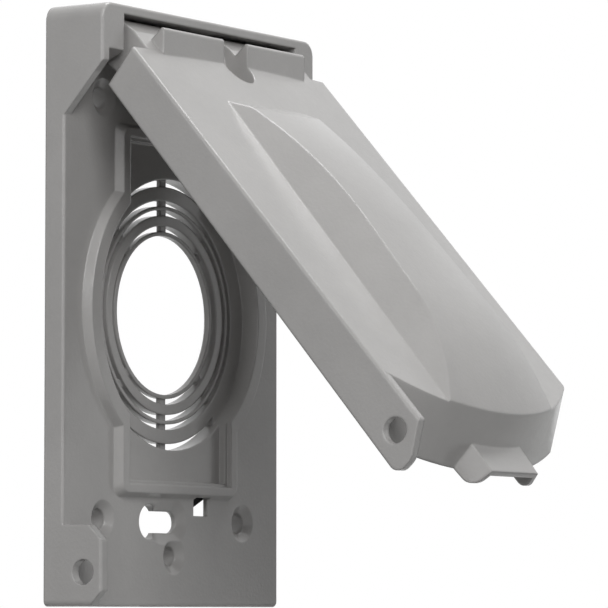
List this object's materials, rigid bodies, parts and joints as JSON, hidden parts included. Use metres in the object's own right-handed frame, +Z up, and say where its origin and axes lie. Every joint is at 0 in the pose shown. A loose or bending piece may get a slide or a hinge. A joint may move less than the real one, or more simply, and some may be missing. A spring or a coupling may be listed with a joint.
{
  "type": "weatherproof flip cover",
  "caption": "Cast wall cover for a round receptacle: plate with break-out rings, a hood, and an arched lid that flips up on a hinge pin, with a padlock ear and lug.",
  "frame": {"origin": "middle of the face that lies on the wall, at the middle of the four box screw holes", "axes": "+X to the right, +Y into the wall, +Z up along the plate; the lid hinges at the top and opens towards -Y"},
  "size_m": [0.0736, 0.0832, 0.116],
  "materials": {
    "cast_plate": "semi-gloss grey powder coat",
    "cast_lid": "semi-gloss grey powder coat",
    "pin_steel": "plain drawn steel",
    "foam": "closed-cell foam, matt"
  },
  "bodies": {
    "base": {"base_plate": "cast_plate", "hinge_pin": "pin_steel", "wall_gasket": "foam"},
    "lid": {"lid": "cast_lid"}
  },
  "joints": [
    {"name": "lid_hinge", "type": "hinge", "parent": "base", "child": "lid", "pos_m": [0, -0.0097, 0.0514], "axis": [-1, 0, 0], "range_deg": [-40.6, 38.5]}
  ]
}
